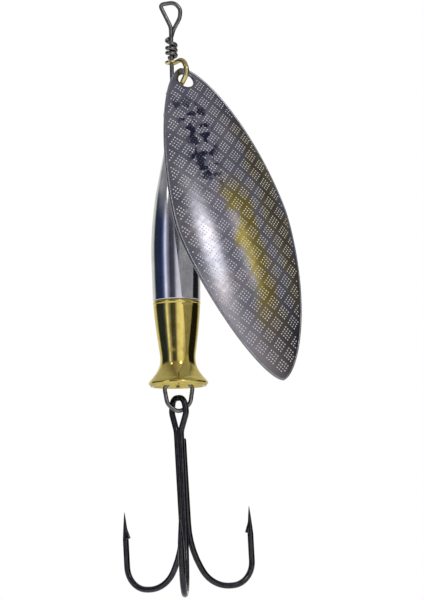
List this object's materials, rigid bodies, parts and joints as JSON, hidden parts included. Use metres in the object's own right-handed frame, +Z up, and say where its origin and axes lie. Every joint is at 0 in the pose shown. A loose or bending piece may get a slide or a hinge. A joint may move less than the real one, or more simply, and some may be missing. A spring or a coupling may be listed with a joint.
{
  "type": "inline spinner",
  "caption": "Inline spinner fishing lure: a long dished leaf blade on a clevis turns about a wire shaft, above a chromed torpedo weight, a flared brass bell and a hanging treble hook.",
  "frame": {"origin": "the point inside the line-tie eye where the line pulls, on the shaft's axis", "axes": "+Z up along the wire shaft towards the line tie; -Y is the side that the crowned face of the blade looks to; the blade leans towards +X"},
  "size_m": [0.0362, 0.0243, 0.1181],
  "materials": {
    "wire_steel": "drawn spring wire, darkened",
    "clevis_brass": "polished",
    "blade_nickel": "nickel plated, embossed dot lattice",
    "bead_brass": "polished",
    "body_chrome": "mirror",
    "bell_brass": "mirror",
    "sleeve_brass": "plain",
    "hook_black": "black nickel"
  },
  "bodies": {
    "shaft": {"main_wire": "wire_steel", "tail_sleeve": "sleeve_brass"},
    "clevis": {"clevis": "clevis_brass"},
    "blade": {"blade": "blade_nickel"},
    "upper_bead": {"upper_bead": "bead_brass"},
    "lower_bead": {"lower_bead": "bead_brass"},
    "body": {"body": "body_chrome"},
    "bell": {"bell": "bell_brass"},
    "treble": {"treble_double_hook": "hook_black", "treble_single_hook": "hook_black"}
  },
  "joints": [
    {"name": "clevis_spin", "type": "hinge", "parent": "shaft", "child": "clevis", "pos_m": [0, 0, -0.01452], "axis": [0, 0, 1], "continuous": true},
    {"name": "blade_swing", "type": "hinge", "parent": "clevis", "child": "blade", "pos_m": [0.00223, -0.00223, -0.01568], "axis": [-0.8751, -0.4484, -0.1819], "range_deg": [-10, 60]},
    {"name": "upper_bead_spin", "type": "hinge", "parent": "shaft", "child": "upper_bead", "pos_m": [0, 0, -0.01915], "axis": [0, 0, 1], "continuous": true},
    {"name": "lower_bead_spin", "type": "hinge", "parent": "shaft", "child": "lower_bead", "pos_m": [0, 0, -0.0221], "axis": [0, 0, 1], "continuous": true},
    {"name": "body_spin", "type": "hinge", "parent": "shaft", "child": "body", "pos_m": [0, 0, -0.0417], "axis": [0, 0, 1], "continuous": true},
    {"name": "bell_spin", "type": "hinge", "parent": "shaft", "child": "bell", "pos_m": [0, 0, -0.0678], "axis": [0, 0, 1], "continuous": true},
    {"name": "treble_swing", "type": "hinge", "parent": "shaft", "child": "treble", "pos_m": [0, 0, -0.0803], "axis": [1, 0, 0], "range_deg": [-45, 30]}
  ]
}
